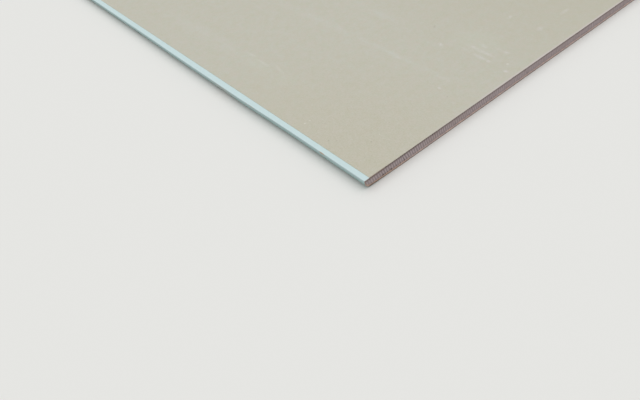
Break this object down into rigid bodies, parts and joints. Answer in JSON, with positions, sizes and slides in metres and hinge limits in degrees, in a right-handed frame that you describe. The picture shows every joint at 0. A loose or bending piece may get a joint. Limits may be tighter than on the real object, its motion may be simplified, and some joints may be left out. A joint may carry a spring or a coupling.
{
  "type": "drywall sheet",
  "caption": "Flat moisture-resistant drywall sheet: gypsum core, face paper wrapped round half-round tapered long edges and lapped onto the back, sawn ends.",
  "frame": {"origin": "centre of the rectangle that the sheet covers, on the surface it lies on", "axes": "+Y along the paper-bound long edges, +X across the sheet from one bound edge to the other, +Z out of the back, which lies up"},
  "size_m": [1, 1.5, 0.0125],
  "materials": {
    "gypsum": "matte, sawn",
    "face_paper": "matte, calendered pale green",
    "back_paper": "matte, unbleached khaki"
  },
  "bodies": {
    "root": {"gypsum_core": "gypsum", "face_paper": "face_paper", "back_paper": "back_paper"}
  },
  "joints": []
}
